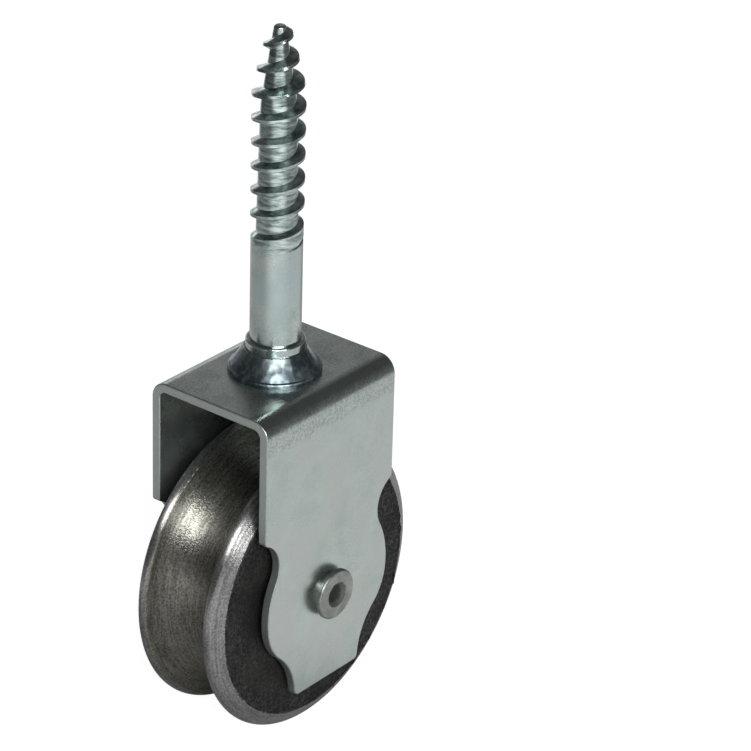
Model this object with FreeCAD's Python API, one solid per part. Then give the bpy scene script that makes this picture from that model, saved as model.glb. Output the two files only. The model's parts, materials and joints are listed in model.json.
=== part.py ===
"""Sliding gate wheel: a grooved steel wheel in a folded sheet fork under a lag screw stem.

Lengths are in millimetres. +X runs along the track, +Y along the axle towards the domed rivet head,
+Z up the stem. The origin lies on the stem axis, on the collar that stops the stem under the gate.
"""
import FreeCAD, Part
import math
import os

# Fork, folded from one strip of sheet
SHEET = 2.0
BEND_INNER_RADIUS = 1.5
FORK_LENGTH = 38.2
AXLE_DROP = 43.9
SHOULDER_RISE = 17.9
SHOULDER_ROUNDING = 0.8
NOTCH_RADIUS = 6.5
LOBE_RADIUS = 18.0
LOBE_CORNER_RADIUS = 11.0
LOBE_CORNER_ANGLE = 8.0
TAB_WIDTH = 19.2
TAB_DROP = 19.7
TAB_ROUNDING = 1.2
CUT_EDGE_ROUNDING = 0.3

# Lag screw stem, cold headed, with a tenon riveted over under the bridge of the fork
SHANK_DIAMETER = 10.0
SHANK_LENGTH = 19.3
COLLAR_DIAMETER = 11.6
COLLAR_HEIGHT = 1.9
COLLAR_ROUNDING = 0.4
CONE_TOP_DIAMETER = 12.2
CONE_FOOT_DIAMETER = 18.3
CONE_HEIGHT = 3.9
FOOT_HEIGHT = 1.1
FOOT_ROUNDING = 0.5
TENON_DIAMETER = 8.0
TENON_CLEARANCE = 0.05
TENON_HEAD_DIAMETER = 11.5
TENON_HEAD_HEIGHT = 1.8
TENON_HEAD_EDGE = 0.8

# Lag thread, right hand: its groove starts as a slit in the shank, its core slims down to a short
# point, and its ridge levels off and fades out round the tip
THREAD_PITCH = 4.86
THREAD_HALF_TURNS = 19
THREAD_DIRECTION = -113.0
CORE_DIAMETER = 8.2
CORE_WAIST_DIAMETER = 7.0
CORE_TAPER = 15.0
TIP_DIAMETER = 2.4
TIP_ROUNDING = 0.5
TIP_MARGIN = 0.15
CREST_DIAMETER = 10.3
CREST_TAPER = 12.0
LAST_CREST_DIAMETER = 4.8
RIDGE_BASE = 2.2
RIDGE_CREST = 0.6
SLIT_MARGIN = 0.55
SLIT_SHARE = 0.15
RUN_IN_TURNS = 0.5
SWELL_TURNS = 0.5
LEVEL_TURNS = 0.5
FADE_TURNS = 0.5
FADED_WIDTH_SHARE = 0.3

# Axle rivet
RIVET_DIAMETER = 5.2
RIVET_CLEARANCE = 0.1
HEAD_DIAMETER = 13.5
HEAD_HEIGHT = 4.65
TAIL_NECK_DIAMETER = 8.2
TAIL_NECK_HEIGHT = 0.7
TAIL_FLARE_HEIGHT = 0.6
TAIL_DIAMETER = 10.4
TAIL_HEIGHT = 2.2
TAIL_EDGE = 0.5
DIMPLE_DIAMETER = 5.2
DIMPLE_DEPTH = 1.2

# Wheel, turned all over the rim
WHEEL_DIAMETER = 60.0
WHEEL_WIDTH = 21.3
GROOVE_RADIUS = 7.2
GROOVE_FLOOR_DIAMETER = 45.4
CREST_RADIUS = 1.1
BEVEL_FOOT_DIAMETER = 53.8
HEAD_SIDE_GAP = 2.3

# Sleeve on the rivet, the inner race of the rollers
SLEEVE_DIAMETER = 7.5
SLEEVE_CLEARANCE = 0.1
SLEEVE_PROUD = 1.4
SLEEVE_RECESS = 0.6

# Caged rollers in the hub of the wheel
ROLLER_COUNT = 10
ROLLER_DIAMETER = 2.2
ROLLER_CHAMFER = 0.2
ROLLER_CLEARANCE = 0.015
CAGE_WALL = 0.9
CAGE_RIM = 1.4
CAGE_CLEARANCE = 0.05
CAGE_END_PLAY = 0.2

# Pressed caps that close the hub and keep the cage in it
CAP_DIAMETER = 16.0
CAP_THICKNESS = 1.0
CAP_INSET = 1.0
CAP_GAP = 0.2
CAP_FIT = 0.01

# Heights, planes and radii that follow from the sizes above
BRIDGE_TOP = -(COLLAR_HEIGHT + CONE_HEIGHT + FOOT_HEIGHT)
BRIDGE_UNDERSIDE = BRIDGE_TOP - SHEET
AXLE_Z = BRIDGE_TOP - AXLE_DROP
CHEEK_INSIDE = (WHEEL_WIDTH + SLEEVE_PROUD + HEAD_SIDE_GAP) / 2
CHEEK_OUTSIDE = CHEEK_INSIDE + SHEET
WHEEL_Y = SLEEVE_PROUD + WHEEL_WIDTH / 2 - CHEEK_INSIDE
THREAD_TURNS = THREAD_HALF_TURNS / 2
SLIT_WIDTH = (THREAD_PITCH - RIDGE_CREST) * SLIT_SHARE
RIDGE_START = SHANK_LENGTH + SLIT_MARGIN + (SLIT_WIDTH - THREAD_PITCH) / 2
RIDGE_END = RIDGE_START + THREAD_PITCH * (THREAD_TURNS - LEVEL_TURNS / 2)
THREAD_END = RIDGE_END + RIDGE_BASE * FADED_WIDTH_SHARE / 2 + TIP_MARGIN
STEM_TOP = THREAD_END + TIP_ROUNDING
SLEEVE_RADIUS = SLEEVE_DIAMETER / 2
ROLLER_PITCH_RADIUS = SLEEVE_RADIUS + ROLLER_CLEARANCE + ROLLER_DIAMETER / 2
HUB_BORE_RADIUS = ROLLER_PITCH_RADIUS + ROLLER_DIAMETER / 2 + ROLLER_CLEARANCE
CAP_FACE = WHEEL_WIDTH / 2 - CAP_INSET - CAP_THICKNESS
CAGE_LENGTH = 2 * (CAP_FACE - CAGE_END_PLAY)
ROLLER_LENGTH = CAGE_LENGTH - 2 * (CAGE_RIM + CAGE_CLEARANCE)

X_AXIS = FreeCAD.Vector(1, 0, 0)
Y_AXIS = FreeCAD.Vector(0, 1, 0)
Z_AXIS = FreeCAD.Vector(0, 0, 1)
AXLE_CENTRE = FreeCAD.Vector(0, 0, AXLE_Z)
OVERRUN = 1.0
SAME_PLACE = 0.001
SAME_WAY = 1
HALF_TURN = 0.5
HELIX_STEPS = 4
HELIX_NUDGE = 0.001


class Outline:
    """Plane outline, drawn from point to point with straight lines and arcs."""

    def __init__(self, place, start):
        self.place = place
        self.first = start
        self.last = start
        self.edges = []

    def line(self, *points):
        """Draw straight lines through the points."""
        for point in points:
            self.edges.append(Part.makeLine(self.place(*self.last), self.place(*point)))
            self.last = point

    def arc(self, centre, end, turn):
        """Draw an arc about a centre; turn is 1 where its angle grows and -1 where it falls."""
        radius = math.dist(self.last, centre)
        start_angle = math.atan2(self.last[1] - centre[1], self.last[0] - centre[0])
        end_angle = math.atan2(end[1] - centre[1], end[0] - centre[0])
        sweep = turn * ((turn * (end_angle - start_angle)) % (2 * math.pi))
        middle = polar(centre, radius, start_angle + sweep / 2)
        arc = Part.Arc(self.place(*self.last), self.place(*middle), self.place(*end))
        self.edges.append(arc.toShape())
        self.last = end

    def wire(self):
        """Return the outline as it is, open or closed."""
        return Part.Wire(self.edges)

    def face(self):
        """Close the outline with a straight line, where it is open, and fill it."""
        if math.dist(self.first, self.last) > SAME_PLACE:
            self.line(self.first)
        return Part.Face(self.wire())


def polar(centre, radius, angle):
    """Return the plane point at an angle, in radians, on a circle."""
    return (centre[0] + radius * math.cos(angle), centre[1] + radius * math.sin(angle))


def mirrored(point):
    """Return a plane point mirrored in its first coordinate."""
    return (-point[0], point[1])


def toward(start, end, length):
    """Return the point at a length from start on the way to end."""
    share = length / math.dist(start, end)
    return (start[0] + (end[0] - start[0]) * share, start[1] + (end[1] - start[1]) * share)


def circle_crossing(first, first_radius, second, second_radius):
    """Return the crossing of two circles to the right of the way from first to second."""
    gap = math.dist(first, second)
    along = (gap ** 2 + first_radius ** 2 - second_radius ** 2) / (2 * gap)
    across = math.sqrt(first_radius ** 2 - along ** 2)
    way = toward((0, 0), (second[0] - first[0], second[1] - first[1]), 1)
    return (first[0] + along * way[0] + across * way[1], first[1] + along * way[1] - across * way[0])


def in_axle_plane(y, r):
    """Place a profile point at y along the axle and r from its centre."""
    return FreeCAD.Vector(0, y, AXLE_Z + r)


def round_stem(turn, r, z):
    """Place a point at r from the stem axis and at height z, some turns on from where the thread starts."""
    angle = math.radians(THREAD_DIRECTION) + 2 * math.pi * turn
    return FreeCAD.Vector(r * math.cos(angle), r * math.sin(angle), z)


def in_stem_plane(r, z):
    """Place a profile point of the stem in the plane where the thread starts."""
    return round_stem(0, r, z)


def in_cheek_plane(x, rise):
    """Place a cheek outline point at x along the track and rise above the axle."""
    return FreeCAD.Vector(x, -CHEEK_OUTSIDE - OVERRUN, AXLE_Z + rise)


def in_fork_plane(y, z):
    """Place a point of the fork section at the end of the fork."""
    return FreeCAD.Vector(-FORK_LENGTH / 2, y, z)


def turned_on_axle(outline):
    """Revolve an outline round the axle."""
    return outline.face().revolve(AXLE_CENTRE, Y_AXIS, 360)


def turned_on_stem(outline):
    """Revolve an open outline round the stem axis into a list of faces."""
    return outline.wire().revolve(FreeCAD.Vector(), Z_AXIS, 360).Faces


def axle_tube(outer_radius, inner_radius, low, high):
    """Return a tube on the axle from y = low to y = high."""
    outline = Outline(in_axle_plane, (low, inner_radius))
    outline.line((high, inner_radius), (high, outer_radius), (low, outer_radius))
    return turned_on_axle(outline)


def fork_section():
    """Return the U section of the fork, with both folds, as a face."""
    bottom = AXLE_Z - TAB_DROP - OVERRUN
    bend_y = CHEEK_INSIDE - BEND_INNER_RADIUS
    bend_z = BRIDGE_UNDERSIDE - BEND_INNER_RADIUS
    outline = Outline(in_fork_plane, (-CHEEK_OUTSIDE, bottom))
    outline.line((-CHEEK_OUTSIDE, bend_z))
    outline.arc((-bend_y, bend_z), (-bend_y, BRIDGE_TOP), -1)
    outline.line((bend_y, BRIDGE_TOP))
    outline.arc((bend_y, bend_z), (CHEEK_OUTSIDE, bend_z), -1)
    outline.line((CHEEK_OUTSIDE, bottom), (CHEEK_INSIDE, bottom), (CHEEK_INSIDE, bend_z))
    outline.arc((bend_y, bend_z), (bend_y, BRIDGE_UNDERSIDE), 1)
    outline.line((-bend_y, BRIDGE_UNDERSIDE))
    outline.arc((-bend_y, bend_z), (-CHEEK_INSIDE, bend_z), 1)
    outline.line((-CHEEK_INSIDE, bottom))
    return outline.face()


def cheek_outline():
    """Return the scalloped outline of the cheeks as a face: shoulders, lobe and narrow tab."""
    half = FORK_LENGTH / 2
    top = AXLE_DROP + OVERRUN
    axle = (0.0, 0.0)
    shoulder = (half, SHOULDER_RISE)
    tab = (TAB_WIDTH / 2, -TAB_DROP)
    # The notch starts at the shoulder and runs smoothly into the lobe round the axle.
    notch = circle_crossing(axle, LOBE_RADIUS + NOTCH_RADIUS, shoulder, NOTCH_RADIUS)
    lobe_start = toward(axle, notch, LOBE_RADIUS)
    corner_angle = -math.radians(LOBE_CORNER_ANGLE)
    corner = polar(axle, LOBE_RADIUS - LOBE_CORNER_RADIUS, corner_angle)
    lobe_end = polar(axle, LOBE_RADIUS, corner_angle)
    # The scallop leaves the lobe corner smoothly and ends upright at the foot of the tab.
    beside = tab[0] - corner[0]
    below = tab[1] - corner[1]
    reach = beside ** 2 + below ** 2 - LOBE_CORNER_RADIUS ** 2
    scallop_radius = reach / (2 * (LOBE_CORNER_RADIUS - beside))
    scallop = (tab[0] + scallop_radius, tab[1])
    scallop_start = toward(corner, scallop, LOBE_CORNER_RADIUS)
    outline = Outline(in_cheek_plane, (half, top))
    outline.line(shoulder)
    outline.arc(notch, lobe_start, 1)
    outline.arc(axle, lobe_end, -1)
    outline.arc(corner, scallop_start, -1)
    outline.arc(scallop, tab, 1)
    outline.line(mirrored(tab))
    outline.arc(mirrored(scallop), mirrored(scallop_start), 1)
    outline.arc(mirrored(corner), mirrored(lobe_end), -1)
    outline.arc(axle, mirrored(lobe_start), -1)
    outline.arc(mirrored(notch), mirrored(shoulder), 1)
    outline.line(mirrored((half, top)))
    return outline.face()


def corner_edges(blank, x, rise):
    """Return the straight edges along Y that stand at plus and minus x, at a rise above the axle."""
    found = []
    for edge in blank.Edges:
        ends = [edge.Vertexes[0].Point, edge.Vertexes[-1].Point]
        at_corner = all(
            abs(abs(end.x) - x) < SAME_PLACE and abs(end.z - AXLE_Z - rise) < SAME_PLACE for end in ends
        )
        if at_corner and abs(ends[0].y - ends[1].y) > SHEET:
            found.append(edge)
    return found


def cut_edges(sheet):
    """Return the edges where the sheet was cut out: they run neither along a fold nor through the sheet."""
    skipped = (FORK_LENGTH, SHEET)
    return [
        edge for edge in sheet.Edges if all(abs(edge.Length - length) > SAME_PLACE for length in skipped)
    ]


def make_fork():
    """Return the folded fork with its axle holes and the tenon hole in the bridge."""
    folded = fork_section().extrude(X_AXIS * FORK_LENGTH)
    blank = cheek_outline().extrude(Y_AXIS * 2 * (CHEEK_OUTSIDE + OVERRUN))
    blank = blank.makeFillet(SHOULDER_ROUNDING, corner_edges(blank, FORK_LENGTH / 2, SHOULDER_RISE))
    blank = blank.makeFillet(TAB_ROUNDING, corner_edges(blank, TAB_WIDTH / 2, -TAB_DROP))
    reach = CHEEK_OUTSIDE + OVERRUN
    axle_hole = axle_tube(RIVET_DIAMETER / 2 + RIVET_CLEARANCE, 0, -reach, reach)
    tenon_hole = Part.makeCylinder(
        TENON_DIAMETER / 2 + TENON_CLEARANCE,
        SHEET + 2 * OVERRUN,
        FreeCAD.Vector(0, 0, BRIDGE_UNDERSIDE - OVERRUN),
    )
    sheet = folded.common(blank)
    sheet = sheet.makeFillet(CUT_EDGE_ROUNDING, cut_edges(sheet))
    return sheet.cut(axle_hole).cut(tenon_hole)


def ramp(value, start, length):
    """Return the share, from 0 to 1, of a length that starts at start and has been passed at value."""
    return min(max((value - start) / length, 0.0), 1.0)


def core_radius(z):
    """Return the radius of the thread's core at height z: it slims to a waist and then to the tip."""
    waist = THREAD_END - CORE_TAPER
    slimmed = ramp(z, SHANK_LENGTH, waist - SHANK_LENGTH) * (CORE_WAIST_DIAMETER - CORE_DIAMETER)
    pointed = ramp(z, waist, CORE_TAPER) * (TIP_DIAMETER - CORE_WAIST_DIAMETER)
    return (CORE_DIAMETER + slimmed + pointed) / 2


def crest_radius(turn, z):
    """Return the radius of the thread's crest: it swells past the shank and then tapers to the tip."""
    swollen = ramp(turn - 1, 0, SWELL_TURNS) * (CREST_DIAMETER - SHANK_DIAMETER)
    pointed = ramp(z, THREAD_END - CREST_TAPER, CREST_TAPER) * (LAST_CREST_DIAMETER - CREST_DIAMETER)
    return (SHANK_DIAMETER + swollen + pointed) / 2


class RidgeEdge:
    """Helical edge of the thread's ridge: on its upper or lower side, at its root or at its crest."""

    def __init__(self, side, at_root):
        self.side = side
        self.at_root = at_root
        self.width = RIDGE_BASE if at_root else RIDGE_CREST

    def point(self, turn):
        """Return the point of the edge some turns on from the start of the thread."""
        groove_turn = turn if self.side > 0 else turn - 1
        cut = ramp(groove_turn, 0, RUN_IN_TURNS)
        faded = ramp(turn, THREAD_TURNS - FADE_TURNS, FADE_TURNS) ** 2
        levelled = ramp(turn, THREAD_TURNS - LEVEL_TURNS, LEVEL_TURNS) ** 2 * LEVEL_TURNS / 2
        groove_width = (THREAD_PITCH - self.width) * (SLIT_SHARE + (1 - SLIT_SHARE) * cut ** 2)
        width = (THREAD_PITCH - groove_width) * (1 - (1 - FADED_WIDTH_SHARE) * faded)
        z = RIDGE_START + THREAD_PITCH * (turn - levelled) + self.side * width / 2
        crest = crest_radius(turn, z)
        core = core_radius(z)
        depth = cut if self.at_root else faded
        return round_stem(turn, crest + depth * (core - crest), z)

    def half_turn(self, turn):
        """Return half a turn of the edge as a smooth curve through points on it."""
        turns = [turn + HALF_TURN * step / HELIX_STEPS for step in range(HELIX_STEPS + 1)]
        points = [self.point(place) for place in turns]
        first = self.point(turns[0] + HELIX_NUDGE) - points[0]
        last = points[-1] - self.point(turns[-1] - HELIX_NUDGE)
        curve = Part.BSplineCurve()
        curve.interpolate(
            Points=points,
            Parameters=turns,
            InitialTangent=first / HELIX_NUDGE,
            FinalTangent=last / HELIX_NUDGE,
            Scale=False,
        )
        return curve.toShape()


class Rim:
    """Circle on which the threaded stretch of the stem meets a turned end."""

    def __init__(self, diameter, z):
        self.radius = diameter / 2
        self.z = z

    def half_turn(self, turn):
        """Return half of the circle as an arc."""
        turns = (turn, turn + HALF_TURN / 2, turn + HALF_TURN)
        return Part.Arc(*(round_stem(place, self.radius, self.z) for place in turns)).toShape()


def strip(first, second, start, stop, lead=0):
    """Return the ruled faces between two edges from turn to turn; the second edge runs ahead by lead."""
    turns = [start + HALF_TURN * half for half in range(round((stop - start) / HALF_TURN))]
    pairs = [(first.half_turn(turn), second.half_turn(turn + lead)) for turn in turns]
    return [Part.makeRuledSurface(*pair, orientation=SAME_WAY) for pair in pairs]


def thread_faces():
    """Return the skin of the threaded stretch: both flanks, the crest and the floor between turns."""
    lower_root = RidgeEdge(-1, True)
    lower_crest = RidgeEdge(-1, False)
    upper_crest = RidgeEdge(1, False)
    upper_root = RidgeEdge(1, True)
    faces = strip(Rim(SHANK_DIAMETER, SHANK_LENGTH), upper_crest, 0, 1)
    faces += strip(lower_root, lower_crest, 1, THREAD_TURNS)
    faces += strip(lower_crest, upper_crest, 1, THREAD_TURNS)
    faces += strip(upper_crest, upper_root, 0, THREAD_TURNS)
    faces += strip(upper_root, lower_root, 0, THREAD_TURNS - 1, lead=1)
    faces += strip(upper_root, Rim(TIP_DIAMETER, THREAD_END), THREAD_TURNS - 1, THREAD_TURNS)
    return faces


def make_lag_stem():
    """Return the stem: riveted tenon, coned foot, collar, shank, tapered lag thread and blunt tip."""
    foot = CONE_FOOT_DIAMETER / 2
    collar = COLLAR_DIAMETER / 2
    shank = SHANK_DIAMETER / 2
    tip = TIP_DIAMETER / 2
    tenon = TENON_DIAMETER / 2
    tenon_head = TENON_HEAD_DIAMETER / 2
    tenon_end = BRIDGE_UNDERSIDE - TENON_HEAD_HEIGHT
    cone_foot = BRIDGE_TOP + FOOT_HEIGHT
    base = Outline(in_stem_plane, (0, tenon_end))
    base.line((tenon, tenon_end), (tenon_head, BRIDGE_UNDERSIDE - TENON_HEAD_EDGE))
    base.line((tenon_head, BRIDGE_UNDERSIDE), (tenon, BRIDGE_UNDERSIDE), (tenon, BRIDGE_TOP))
    base.line((foot, BRIDGE_TOP), (foot, cone_foot - FOOT_ROUNDING))
    base.arc((foot - FOOT_ROUNDING, cone_foot - FOOT_ROUNDING), (foot - FOOT_ROUNDING, cone_foot), 1)
    base.line((CONE_TOP_DIAMETER / 2, -COLLAR_HEIGHT), (collar, -COLLAR_HEIGHT))
    base.line((collar, -COLLAR_ROUNDING))
    base.arc((collar - COLLAR_ROUNDING, -COLLAR_ROUNDING), (collar - COLLAR_ROUNDING, 0), 1)
    base.line((shank, 0), (shank, SHANK_LENGTH))
    end = Outline(in_stem_plane, (tip, THREAD_END))
    end.arc((tip - TIP_ROUNDING, THREAD_END), (tip - TIP_ROUNDING, STEM_TOP), 1)
    end.line((0, STEM_TOP))
    skin = Part.makeShell(turned_on_stem(base) + thread_faces() + turned_on_stem(end))
    skin.sewShape()
    return Part.makeSolid(skin)


def make_axle_rivet():
    """Return the rivet: domed head, shank and a hammered, flared tail with a dimple."""
    shank = RIVET_DIAMETER / 2
    head = HEAD_DIAMETER / 2
    tail = TAIL_DIAMETER / 2
    neck = TAIL_NECK_DIAMETER / 2
    dimple = DIMPLE_DIAMETER / 2
    flare_start = -CHEEK_OUTSIDE - TAIL_NECK_HEIGHT
    tail_end = -CHEEK_OUTSIDE - TAIL_HEIGHT
    dome_radius = (head ** 2 + HEAD_HEIGHT ** 2) / (2 * HEAD_HEIGHT)
    dome_top = CHEEK_OUTSIDE + HEAD_HEIGHT
    dimple_radius = (dimple ** 2 + DIMPLE_DEPTH ** 2) / (2 * DIMPLE_DEPTH)
    dimple_floor = tail_end + DIMPLE_DEPTH
    outline = Outline(in_axle_plane, (dome_top, 0))
    outline.arc((dome_top - dome_radius, 0), (CHEEK_OUTSIDE, head), 1)
    outline.line((CHEEK_OUTSIDE, shank), (-CHEEK_OUTSIDE, shank))
    outline.line((-CHEEK_OUTSIDE, neck), (flare_start, neck), (flare_start - TAIL_FLARE_HEIGHT, tail))
    outline.line((tail_end + TAIL_EDGE, tail))
    outline.arc((tail_end + TAIL_EDGE, tail - TAIL_EDGE), (tail_end, tail - TAIL_EDGE), 1)
    outline.line((tail_end, dimple))
    outline.arc((dimple_floor - dimple_radius, 0), (dimple_floor, 0), -1)
    return turned_on_axle(outline)


def make_axle_sleeve():
    """Return the sleeve: it stands on the tail side cheek and ends inside the hub at the other side."""
    end = WHEEL_Y + WHEEL_WIDTH / 2 - SLEEVE_RECESS
    return axle_tube(SLEEVE_RADIUS, RIVET_DIAMETER / 2 + SLEEVE_CLEARANCE, -CHEEK_INSIDE, end)


def make_wheel():
    """Return the wheel: round groove between rounded crests, bevelled rims and a stepped hub bore."""
    half = WHEEL_WIDTH / 2
    groove_centre = GROOVE_FLOOR_DIAMETER / 2 + GROOVE_RADIUS
    crest_r = WHEEL_DIAMETER / 2 - CREST_RADIUS
    crest_y = math.sqrt((GROOVE_RADIUS + CREST_RADIUS) ** 2 - (groove_centre - crest_r) ** 2)
    crest = (crest_y, crest_r)
    groove = (0.0, groove_centre)
    groove_end = toward(groove, crest, GROOVE_RADIUS)
    bevel_foot = (half, BEVEL_FOOT_DIAMETER / 2)
    bevel_length = math.sqrt(math.dist(crest, bevel_foot) ** 2 - CREST_RADIUS ** 2)
    bevel_top = circle_crossing(bevel_foot, bevel_length, crest, CREST_RADIUS)
    seat = CAP_DIAMETER / 2 + CAP_FIT
    outline = Outline(lambda y, r: in_axle_plane(WHEEL_Y + y, r), (-half, seat))
    outline.line((-CAP_FACE, seat), (-CAP_FACE, HUB_BORE_RADIUS), (CAP_FACE, HUB_BORE_RADIUS))
    outline.line((CAP_FACE, seat), (half, seat), bevel_foot, bevel_top)
    outline.arc(crest, groove_end, 1)
    outline.arc(groove, mirrored(groove_end), -1)
    outline.arc(mirrored(crest), mirrored(bevel_top), 1)
    outline.line(mirrored(bevel_foot))
    return turned_on_axle(outline)


def make_hub_cap(side):
    """Return the pressed cap that closes one end of the hub; side is 1 or -1 along the axle."""
    near = WHEEL_Y + side * CAP_FACE
    far = near + side * CAP_THICKNESS
    return axle_tube(CAP_DIAMETER / 2, SLEEVE_RADIUS + CAP_GAP, min(near, far), max(near, far))


def roller_axis_point(number, y):
    """Return the centre line point at y of one of the rollers, numbered from 0 at the top."""
    angle = 2 * math.pi * number / ROLLER_COUNT
    across = ROLLER_PITCH_RADIUS * math.sin(angle)
    up = ROLLER_PITCH_RADIUS * math.cos(angle)
    return FreeCAD.Vector(across, y, AXLE_Z + up)


def make_roller(number):
    """Return one roller with chamfered ends."""
    start = roller_axis_point(number, WHEEL_Y - ROLLER_LENGTH / 2)
    roller = Part.makeCylinder(ROLLER_DIAMETER / 2, ROLLER_LENGTH, start, Y_AXIS)
    rims = [edge for edge in roller.Edges if edge.isClosed() and edge.Curve.TypeId == "Part::GeomCircle"]
    return roller.makeChamfer(ROLLER_CHAMFER, rims)


def make_roller_cage():
    """Return the cage: a thin tube with one window for each roller."""
    half = CAGE_LENGTH / 2
    outer = ROLLER_PITCH_RADIUS + CAGE_WALL / 2
    cage = axle_tube(outer, outer - CAGE_WALL, WHEEL_Y - half, WHEEL_Y + half)
    for number in range(ROLLER_COUNT):
        start = roller_axis_point(number, WHEEL_Y - ROLLER_LENGTH / 2 - CAGE_CLEARANCE)
        window = Part.makeCylinder(
            ROLLER_DIAMETER / 2 + CAGE_CLEARANCE, ROLLER_LENGTH + 2 * CAGE_CLEARANCE, start, Y_AXIS
        )
        cage = cage.cut(window)
    return cage


def pieces():
    """Yield the name and the solid of every piece."""
    yield "fork", make_fork()
    yield "lag_stem", make_lag_stem()
    yield "axle_rivet", make_axle_rivet()
    yield "axle_sleeve", make_axle_sleeve()
    yield "wheel", make_wheel()
    yield "hub_cap_head_side", make_hub_cap(1)
    yield "hub_cap_tail_side", make_hub_cap(-1)
    yield "roller_cage", make_roller_cage()
    for number in range(ROLLER_COUNT):
        yield f"roller_{number + 1}", make_roller(number)


os.makedirs("parts", exist_ok=True)
for name, solid in pieces():
    solid.exportStep(f"parts/{name}.step")
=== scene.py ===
"""Looks of a sliding gate wheel: zinc plated fork and lag stem, turned wheel and riveted axle."""
import json
import logging
import math
from dataclasses import dataclass
from enum import Enum
from typing import Callable, ClassVar, Dict, Sequence, Tuple, Union

import bpy
from mathutils import Matrix, Quaternion, Vector


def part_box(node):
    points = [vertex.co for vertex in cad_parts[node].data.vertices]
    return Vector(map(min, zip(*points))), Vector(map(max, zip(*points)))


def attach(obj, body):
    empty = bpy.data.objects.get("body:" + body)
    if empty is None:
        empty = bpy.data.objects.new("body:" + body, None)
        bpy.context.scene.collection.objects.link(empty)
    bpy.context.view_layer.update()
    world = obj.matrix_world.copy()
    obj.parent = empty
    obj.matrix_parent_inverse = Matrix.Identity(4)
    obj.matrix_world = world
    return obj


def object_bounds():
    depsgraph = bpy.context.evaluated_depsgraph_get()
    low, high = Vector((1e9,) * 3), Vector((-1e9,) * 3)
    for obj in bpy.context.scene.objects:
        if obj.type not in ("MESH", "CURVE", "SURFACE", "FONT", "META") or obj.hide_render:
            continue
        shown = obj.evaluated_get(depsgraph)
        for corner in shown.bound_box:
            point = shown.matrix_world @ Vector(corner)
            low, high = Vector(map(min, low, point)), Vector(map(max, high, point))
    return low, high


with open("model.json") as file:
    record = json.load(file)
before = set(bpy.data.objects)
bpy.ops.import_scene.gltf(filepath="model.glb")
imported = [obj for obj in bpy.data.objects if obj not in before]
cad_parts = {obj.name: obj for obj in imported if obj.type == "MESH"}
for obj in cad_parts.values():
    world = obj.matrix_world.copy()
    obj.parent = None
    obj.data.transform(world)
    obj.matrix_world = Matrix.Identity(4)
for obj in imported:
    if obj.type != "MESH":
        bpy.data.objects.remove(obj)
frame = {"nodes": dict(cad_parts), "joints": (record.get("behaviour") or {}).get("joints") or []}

LOG = logging.getLogger("gate_wheel")
MM = 0.001
CAD_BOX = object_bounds()

Colour = Tuple[float, float, float]
Socket = bpy.types.NodeSocket
Sockets = bpy.types.bpy_prop_collection
Feed = Union[Socket, float, Sequence[float]]


class Body(Enum):
    """Bodies of the part that pieces ride on."""

    BRACKET = "bracket"
    WHEEL = "wheel"
    ROLLER_CAGE = "roller_cage"


class Side(Enum):
    """Ends of the axle, as signs along Y."""

    HEAD = 1
    TAIL = -1

    @property
    def label(self) -> str:
        """Return the end of the names of pieces on this side."""
        return f"{self.name.lower()}_side"


class Coordinate(Enum):
    """Coordinates that the materials and the room read."""

    PLACE = "Object"
    FACING = "Normal"
    ROOM = "Generated"


@dataclass(frozen=True)
class Ramp:
    """A range of a value and the range that it is mapped to."""

    low: float
    high: float
    to_low: float = 0.0
    to_high: float = 1.0


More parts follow.
